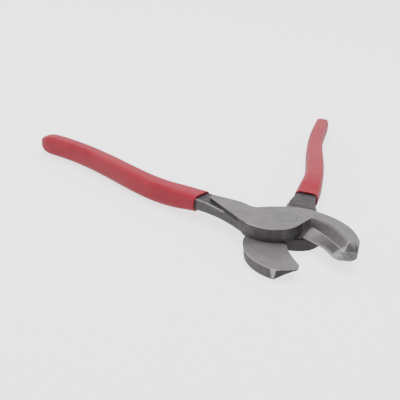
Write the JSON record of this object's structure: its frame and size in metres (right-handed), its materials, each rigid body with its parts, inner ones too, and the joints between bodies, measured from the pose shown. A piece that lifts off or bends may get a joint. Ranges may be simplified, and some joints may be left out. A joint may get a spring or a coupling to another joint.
{
  "type": "cable cutter",
  "caption": "Hand-held cable cutter: two forged halves crossing on a flush rivet, a hooked jaw shearing past a plain curved blade, long handles with red dipped vinyl grips.",
  "frame": {"origin": "on the rivet's axis, on the ground underside of the hub where the rivet's head lies flush, which the tool rests on", "axes": "+Z along the rivet, up from the blade half to the hook half; +Y towards the handles, midway between them when open; +X to the side where the blade half's handle lies"},
  "size_m": [0.2247, 0.1973, 0.016],
  "materials": {
    "forged_steel": "forged, faces ground",
    "rivet_steel": "ground flush",
    "grip_vinyl": "satin dipped vinyl"
  },
  "bodies": {
    "blade_side": {"blade_half": "forged_steel", "pivot_rivet": "rivet_steel", "blade_grip": "grip_vinyl"},
    "hook_side": {"hook_half": "forged_steel", "hook_grip": "grip_vinyl"}
  },
  "joints": [
    {"name": "pivot", "type": "hinge", "parent": "blade_side", "child": "hook_side", "pos_m": [0, 0, 0.008], "axis": [0, 0, 1], "range_deg": [-55, 0]}
  ]
}
